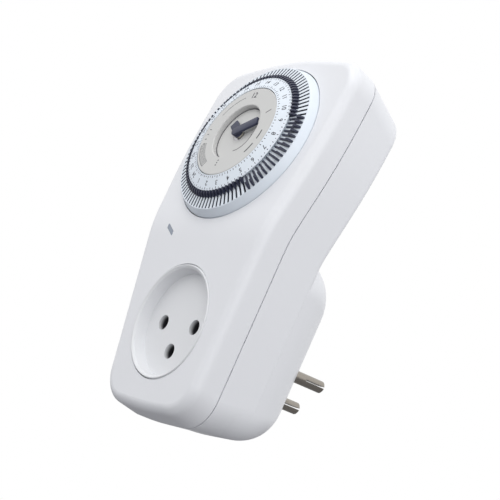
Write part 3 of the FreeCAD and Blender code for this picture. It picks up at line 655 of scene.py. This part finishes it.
def darken_holes(material):
    """The bores of the socket lose light with depth behind the floor of the recess."""
    place = coordinates(material.node_tree)
    depth = axes(place)[1] - RECESS_FLOOR * MM
    share = place.node(
        "ShaderNodeMapRange", {"interpolation_type": "SMOOTHSTEP"},
        Value=depth, From_Min=HOLE_SHADE[0] * MM, From_Max=HOLE_SHADE[1] * MM,
    )
    darken(material, Maths(place.tree, share.outputs["Result"]), HOLE_DARK)


def darken_slots(material, colour):
    """Painted shade: below its sloping top the comb's slot walls and underside take the given
    navy, for the shadow in the slots and the dark tripper feet under the comb.
    """
    place = coordinates(material.node_tree)
    turn = place.node(
        "ShaderNodeVectorRotate", {"rotation_type": "X_AXIS"},
        Vector=place, Center=tuple(DIAL_CENTRE), Angle=LEAN - math.radians(90),
    )
    turned = axes(Maths(place.tree, turn.outputs["Vector"]))
    across, along, height = (part - middle for part, middle in zip(turned, DIAL_CENTRE))
    radius = (across * across + along * along).power(0.5)
    surface = (COMB_OUTER * MM - radius) * COMB_FALL + COMB_EDGE * MM
    below = (surface - height).above(SLOT_SHADE * MM)
    inside = radius.above(COMB_INNER * MM) * (1 - radius.above((COMB_OUTER + 0.1) * MM))
    darken(material, below * inside, colour)


class TIMER_OT_dial(bpy.types.Operator):
    """Pale rim, comb and numeral ring with their dark trippers"""

    bl_idname = "timer.dial"
    bl_label = "Dial and trippers"

    def execute(self, context):
        look = context.scene.timer_dial
        pale = plastic("dial plastic", look.pale, 0.36, grain=0.08)
        paint("dial_body", pale)
        # Painted shade: the comb's slot walls below its top take the tripper navy.
        darken_slots(pale, look.navy)
        work = bmesh.new()
        add_turned(work, (
            (RING_INNER[0], RING_INNER[1] - RING_EDGE),
            (RING_OUTER[0], RING_OUTER[1] - RING_EDGE),
            (RING_OUTER[0], RING_OUTER[1] - RING_BEVEL),
            (RING_OUTER[0] - RING_BEVEL, RING_OUTER[1] + RING_LIP),
            RING_INNER,
        ))
        satin = plastic("ring plastic", look.pale, 0.45, grain=0.05)
        ring = new_piece("hour_ring", work, satin, "dial")
        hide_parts("numeral_ring")
        soften(ring)
        navy = plastic("tripper plastic", look.navy, 0.38, grain=0.12, spread=0.10)
        for name, quarters, body, node in tripper_sets():
            work = bmesh.new()
            for quarter in quarters:
                add_tripper(work, quarter)
            piece = new_piece(name, work, navy, body)
            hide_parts(node)
            soften(piece)
        return {"FINISHED"}


class TIMER_OT_numerals(bpy.types.Operator):
    """Printed hours and quarter hour ticks on the ring"""

    bl_idname = "timer.numerals"
    bl_label = "Hour print"

    def execute(self, context):
        look = context.scene.timer_dial
        ink = plastic("print ink", look.ink, 0.55, grain=0.0, spread=0.05)
        slope = math.atan2(RING_INNER[1] - RING_OUTER[1], RING_OUTER[0] - RING_INNER[0])
        radius = look.numeral_radius
        work = bmesh.new()
        for hour in range(1, HOURS + 1):
            place = cone_frame(radius, hour_angle(hour), slope, ring_height(radius / MM) * MM)
            upright = place @ Matrix.Rotation(math.radians(-90), 4, "Z")
            add_text(work, str(hour), upright, look.numeral_size, look.print_depth)
        new_piece("hour_numerals", work, ink, "dial")
        work = bmesh.new()
        for quarter in range(QUARTERS):
            angle = hour_angle(0) + quarter * 360 / QUARTERS
            inner = TICK_LENGTHS[quarter % 4]
            outer = inner * OUTER_TICK_SHARE
            rows = ((TICK_INNER + inner / 2, inner), (TICK_OUTER - outer / 2, outer))
            for centre, length in rows:
                place = cone_frame(centre * MM, angle, slope, ring_height(centre) * MM)
                add_bar(work, place, length * MM, look.tick_width, look.print_depth)
        new_piece("quarter_ticks", work, ink, "dial")
        return {"FINISHED"}


class TIMER_OT_clock_face(bpy.types.Operator):
    """Grey clock face with its plain printed marks, and a ring of painted shade at the edge of
    the well floor
    """

    bl_idname = "timer.clock_face"
    bl_label = "Clock face"

    def execute(self, context):
        look = context.scene.timer_dial
        paint("clock_disc", plastic("clock face plastic", look.face, 0.5, grain=0.05))
        ink = plastic("face ink and well shade", look.ink, 0.55, grain=0.0, spread=0.05)
        depth = look.print_depth
        work = bmesh.new()
        for radius, start, end, width, height in FACE_ARCS:
            add_arc(work, radius * MM, start, end, width * MM, height * MM, depth)
        new_piece("face_arcs", work, ink, "housing")
        work = bmesh.new()
        for count, radius, outward, angle, turn, length, width in FACE_BARS:
            for number in range(count):
                reach = (radius + number * outward) * MM
                place = cone_frame(reach, angle + number * turn, 0.0, FACE_HEIGHT * MM)
                add_bar(work, place, length * MM, width * MM, depth)
        new_piece("face_marks", work, ink, "housing")
        work = bmesh.new()
        place = DIAL @ Matrix.Translation(Vector(TWELVE_PLACE) * MM)
        add_text(work, "12", place, TWELVE_SIZE * MM, depth)
        new_piece("face_twelve", work, ink, "housing")
        return {"FINISHED"}


class TIMER_OT_hands(bpy.types.Operator):
    """Dark blue clock hands, rounded off at the hub"""

    bl_idname = "timer.hands"
    bl_label = "Hands"

    def execute(self, context):
        look = context.scene.timer_dial
        navy = plastic("hand plastic", [value * 1.3 for value in look.navy], 0.42, spread=0.08)
        for name, node, body, angle, reach, half, low, high in HANDS:
            work = bmesh.new()
            outline = [(reach, half * TIP_SHARE), (reach - TIP_LENGTH, half)]
            for step in range(HUB_STEPS + 1):
                turn = math.radians(90 + 180 * step / HUB_STEPS)
                side = max(-half, min(half, HUB_RADIUS * math.sin(turn)))
                outline.append((HUB_RADIUS * math.cos(turn), side))
            outline += [(reach - TIP_LENGTH, -half), (reach, -half * TIP_SHARE)]
            place = DIAL @ Matrix.Rotation(math.radians(angle), 4, "Z")
            add_solid(work, tidy_outline(outline), low, high, place, HAND_BEVEL)
            piece = new_piece(name, work, navy, body)
            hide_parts(node)
            soften(piece)
        return {"FINISHED"}


class TIMER_OT_clockwork(bpy.types.Operator):
    """Plates, wheels, motor and switch inside the housing"""

    bl_idname = "timer.clockwork"
    bl_label = "Clockwork"

    def execute(self, context):
        steel = metal("clockwork steel", (0.50, 0.50, 0.51), 0.32)
        for node in ("bridge_plate", "centre_pipe", "motion_stud", "feeler_pin", "minute_arbor"):
            paint(node, steel)
        paint("motor_body", metal("motor can", (0.55, 0.56, 0.57), 0.4))
        ivory = plastic("wheel plastic", (0.70, 0.66, 0.56), 0.45)
        for node in ("hour_wheel", "motion_wheel", "motor_pinion", "feeler_lever"):
            paint(node, ivory)
        paint("mechanism_plate", plastic("plate plastic", (0.45, 0.44, 0.40), 0.55))
        dark = plastic("switch plastic", (0.03, 0.03, 0.035), 0.45)
        paint("switch_body", dark)
        paint("switch_button", dark)
        return {"FINISHED"}


def dress_world(scene, look):
    """Sky that is brighter above, and plain white where the camera looks past the object."""
    world = bpy.data.worlds.new("soft sky")
    world.use_nodes = True
    scene.world = world
    tree = world.node_tree
    tree.nodes.clear()
    place = coordinates(tree, "Generated")
    share = place.node(
        "ShaderNodeMapRange", {"interpolation_type": "SMOOTHSTEP"},
        Value=axes(place)[2], From_Min=-SKY_BAND, From_Max=SKY_BAND,
    )
    strength = Maths(tree, share.outputs["Result"]) * (look.sky_top - look.sky_low) + look.sky_low
    sky = place.node("ShaderNodeBackground", Strength=strength)
    sky.inputs["Color"].default_value = (0.985, 0.99, 1.0, 1)
    white = place.node("ShaderNodeBackground", Strength=1.0)
    white.inputs["Color"].default_value = (1, 1, 1, 1)
    path = tree.nodes.new("ShaderNodeLightPath")
    mix = tree.nodes.new("ShaderNodeMixShader")
    tree.links.new(path.outputs["Is Camera Ray"], mix.inputs[0])
    tree.links.new(sky.outputs[0], mix.inputs[1])
    tree.links.new(white.outputs[0], mix.inputs[2])
    output = tree.nodes.new("ShaderNodeOutputWorld")
    tree.links.new(mix.outputs[0], output.inputs["Surface"])


def lay_floor(look):
    """Plain pale floor far below, seen as white and lit as a soft grey."""
    material = bpy.data.materials.new("floor")
    material.use_nodes = True
    tree = material.node_tree
    tree.nodes.clear()
    start = Maths(tree, tree.nodes.new("ShaderNodeLightPath").outputs["Is Camera Ray"])
    matt = start.node("ShaderNodeBsdfDiffuse")
    matt.inputs["Color"].default_value = (0.25, 0.25, 0.26, 1)
    bright = start.node("ShaderNodeEmission", Strength=1.0)
    bright.inputs["Color"].default_value = (1, 1, 1, 1)
    mix = tree.nodes.new("ShaderNodeMixShader")
    tree.links.new(start.socket, mix.inputs[0])
    tree.links.new(matt.outputs[0], mix.inputs[1])
    tree.links.new(bright.outputs[0], mix.inputs[2])
    output = tree.nodes.new("ShaderNodeOutputMaterial")
    tree.links.new(mix.outputs[0], output.inputs["Surface"])
    work = bmesh.new()
    made = bmesh.ops.create_grid(work, x_segments=1, y_segments=1, size=FLOOR_HALF)
    bmesh.ops.translate(work, verts=made["verts"], vec=(0, 0, -look.floor_drop))
    mesh = bpy.data.meshes.new("floor")
    work.to_mesh(mesh)
    work.free()
    mesh.materials.append(material)
    floor = bpy.data.objects.new("floor", mesh)
    bpy.context.scene.collection.objects.link(floor)


def hang_light(name, place, size, power):
    """A soft white light that faces the object."""
    lamp = bpy.data.lights.new(name, "AREA")
    lamp.shape = "RECTANGLE"
    lamp.size, lamp.size_y = size
    lamp.energy = power
    holder = bpy.data.objects.new(name, lamp)
    holder.location = place
    aim = Vector(AIM_POINT) - Vector(place)
    holder.rotation_euler = aim.to_track_quat("-Z", "Y").to_euler()
    bpy.context.scene.collection.objects.link(holder)


class TIMER_OT_stage(bpy.types.Operator):
    """Floor, light and camera"""

    bl_idname = "timer.stage"
    bl_label = "Stage"

    def execute(self, context):
        scene = context.scene
        look = scene.timer_stage
        dress_world(scene, look)
        lay_floor(look)
        hang_light("key", KEY_PLACE, KEY_SIZE, look.key_power)
        hang_light("top", TOP_PLACE, TOP_SIZE, look.top_power)
        lens = bpy.data.cameras.new("camera")
        lens.sensor_width = CAMERA_SENSOR
        lens.lens = CAMERA_LENS
        lens.clip_start, lens.clip_end = CAMERA_RANGE
        lens.dof.use_dof = False
        camera = bpy.data.objects.new("camera", lens)
        camera.location = CAMERA_PLACE
        camera.rotation_euler = [math.radians(turn) for turn in CAMERA_TURN]
        scene.collection.objects.link(camera)
        scene.camera = camera
        scene.view_settings.view_transform = "Standard"
        return {"FINISHED"}


STEPS = (
    TIMER_OT_shells,
    TIMER_OT_socket,
    TIMER_OT_plug,
    TIMER_OT_dial,
    TIMER_OT_numerals,
    TIMER_OT_clock_face,
    TIMER_OT_hands,
    TIMER_OT_clockwork,
    TIMER_OT_stage,
)
GROUPS = (TimerBodyLook, TimerDialLook, TimerStageLook)


class TIMER_PT_panel(bpy.types.Panel):
    """Sidebar list of the timer switch's pieces"""

    bl_idname = "TIMER_PT_panel"
    bl_label = "Timer switch"
    bl_space_type = "VIEW_3D"
    bl_region_type = "UI"
    bl_category = "Timer"

    def draw(self, context):
        for step in STEPS:
            self.layout.operator(step.bl_idname)
        for name in ("timer_body", "timer_dial", "timer_stage"):
            group = getattr(context.scene, name)
            box = self.layout.box()
            for field in group.__annotations__:
                box.prop(group, field)


def register():
    for kind in (*GROUPS, *STEPS, TIMER_PT_panel):
        bpy.utils.register_class(kind)
    bpy.types.Scene.timer_body = PointerProperty(type=TimerBodyLook)
    bpy.types.Scene.timer_dial = PointerProperty(type=TimerDialLook)
    bpy.types.Scene.timer_stage = PointerProperty(type=TimerStageLook)


def unregister():
    del bpy.types.Scene.timer_stage
    del bpy.types.Scene.timer_dial
    del bpy.types.Scene.timer_body
    for kind in reversed((*GROUPS, *STEPS, TIMER_PT_panel)):
        bpy.utils.unregister_class(kind)


def main():
    register()
    for step in STEPS:
        family, action = step.bl_idname.split(".")
        getattr(getattr(bpy.ops, family), action)()


if __name__ == "__main__":
    main()
